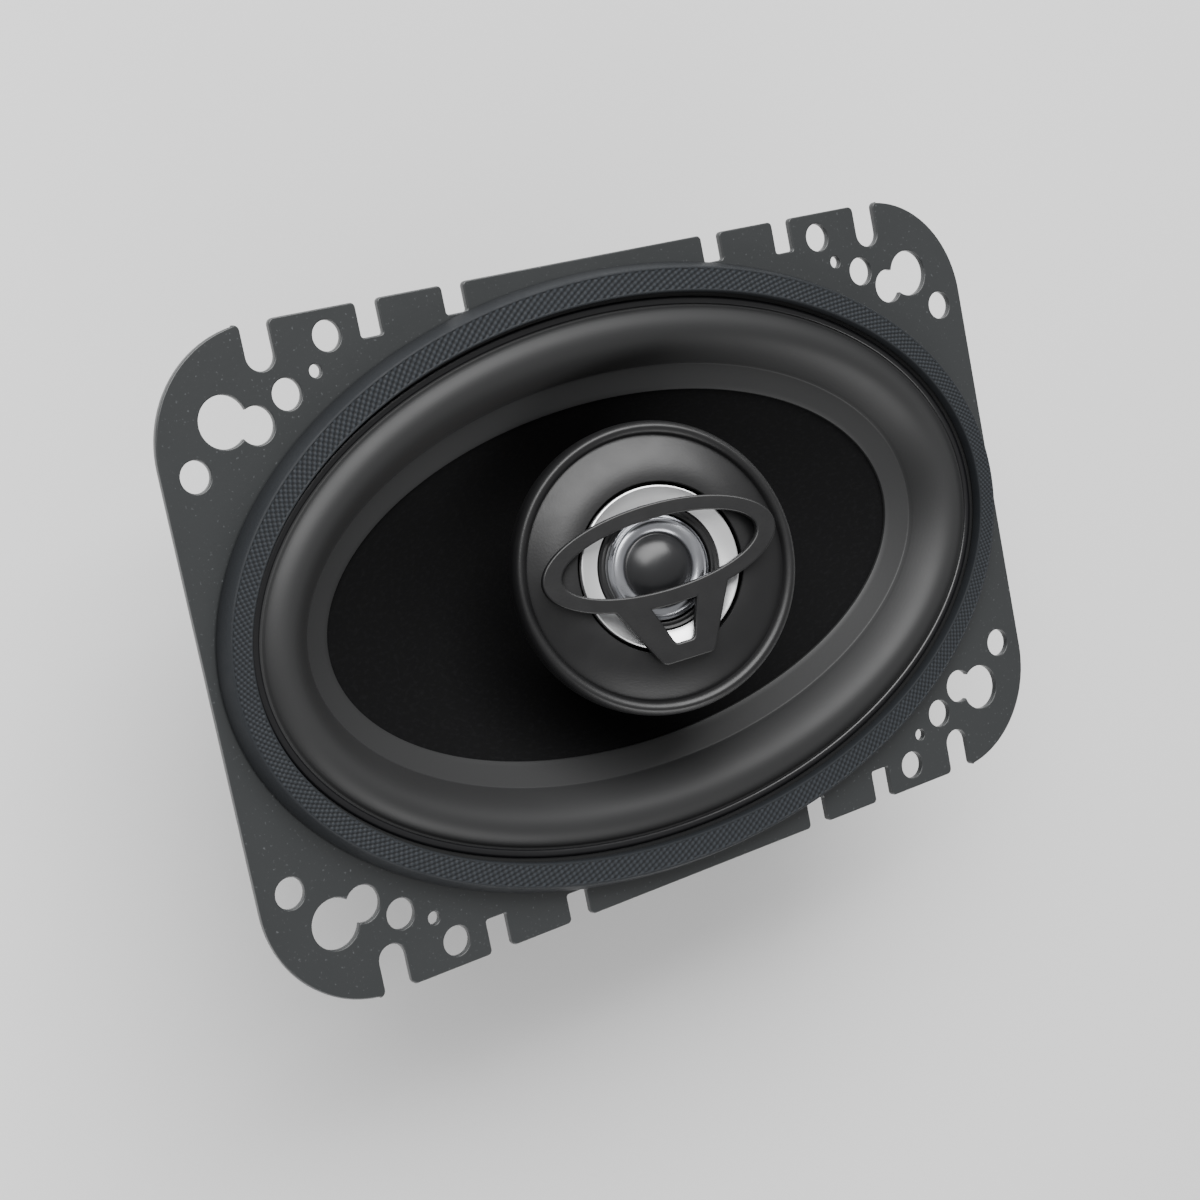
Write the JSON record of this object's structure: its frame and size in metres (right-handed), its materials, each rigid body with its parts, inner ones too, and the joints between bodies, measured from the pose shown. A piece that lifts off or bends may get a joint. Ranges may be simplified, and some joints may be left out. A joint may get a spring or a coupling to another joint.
{
  "type": "coaxial car speaker",
  "caption": "Oval coaxial car speaker: woofer cone in a pressed basket with a slotted flange, and a small tweeter pod that swivels on a ball post.",
  "frame": {"origin": "centre of the motor's back face, which the speaker lies on; also the bottom centre of the box round it", "axes": "+X along the long side of the flange, +Y across it, +Z out of the front, along the axis of the motor"},
  "size_m": [0.1634, 0.107, 0.0656],
  "materials": {
    "flange_paint": "satin black electrocoat on pressed steel",
    "gasket_rubber": "moulded rubber with a fine knurl",
    "surround_rubber": "satin butyl rubber",
    "cone_pulp": "black fibre cone, matt",
    "spider_cloth": "phenolic-dipped woven cloth",
    "former_film": "amber polyimide film",
    "copper_wire": "enamelled copper",
    "zinc_plate": "zinc-plated steel",
    "ferrite": "sintered ferrite, ground faces",
    "pod_plastic": "satin moulded ABS",
    "flare_chrome": "satin chrome plating",
    "foil_metal": "metallised polyimide film",
    "dome_film": "dark polyimide film, semi-gloss",
    "board_phenolic": "brown phenolic board",
    "wire_red": "red PVC insulation",
    "wire_black": "black PVC insulation",
    "can_sleeve": "shrink-sleeved electrolytic can"
  },
  "bodies": {
    "frame": {"basket": "flange_paint", "gasket_ring": "gasket_rubber", "surround": "surround_rubber", "spider": "spider_cloth", "yoke": "zinc_plate", "magnet": "ferrite", "top_plate": "zinc_plate", "frame_rivet_1": "zinc_plate", "frame_rivet_2": "zinc_plate", "frame_rivet_3": "zinc_plate", "frame_rivet_4": "zinc_plate", "terminal_board": "board_phenolic", "board_rivet_1": "zinc_plate", "board_rivet_2": "zinc_plate", "terminal_positive": "zinc_plate", "terminal_rivet_positive": "zinc_plate", "terminal_negative": "zinc_plate", "terminal_rivet_negative": "zinc_plate", "tweeter_post": "pod_plastic", "post_nut": "zinc_plate", "crossover_capacitor": "can_sleeve", "tweeter_lead_positive": "wire_red", "tweeter_lead_negative": "wire_black", "tinsel_lead_positive": "copper_wire", "tinsel_lead_negative": "copper_wire"},
    "cone_assembly": {"cone": "cone_pulp", "voice_coil_former": "former_film", "voice_coil_winding": "copper_wire"},
    "swivel": {"ball_liner": "former_film"},
    "pod": {"tweeter_cup": "pod_plastic", "pod_bezel": "pod_plastic", "guard_ring": "pod_plastic", "tweeter_flare": "flare_chrome", "tweeter_frame": "pod_plastic", "tweeter_pot": "zinc_plate", "tweeter_magnet": "foil_metal", "tweeter_pole": "zinc_plate", "tweeter_surround": "foil_metal"},
    "tweeter_diaphragm": {"tweeter_dome": "dome_film", "tweeter_coil": "copper_wire"}
  },
  "joints": [
    {"name": "cone_travel", "type": "slide", "parent": "frame", "child": "cone_assembly", "axis": [0, 0, 1], "range_m": [-0.003, 0.003], "stiffness_N_per_m": 1500, "deforming": ["surround", "spider", "tinsel_lead_positive", "tinsel_lead_negative"]},
    {"name": "pod_swivel_along", "type": "hinge", "parent": "frame", "child": "swivel", "pos_m": [0, 0, 0.0455], "axis": [0, 1, 0], "range_deg": [-2.7, 37.3]},
    {"name": "pod_swivel_across", "type": "hinge", "parent": "swivel", "child": "pod", "pos_m": [0, 0, 0.0455], "axis": [0.9548, 0, 0.2974], "range_deg": [-13.5, 26.5]},
    {"name": "tweeter_travel", "type": "slide", "parent": "pod", "child": "tweeter_diaphragm", "axis": [-0.2955, 0.1132, 0.9486], "range_m": [-0.0003, 0.0003], "stiffness_N_per_m": 1000, "deforming": ["tweeter_surround"]}
  ]
}
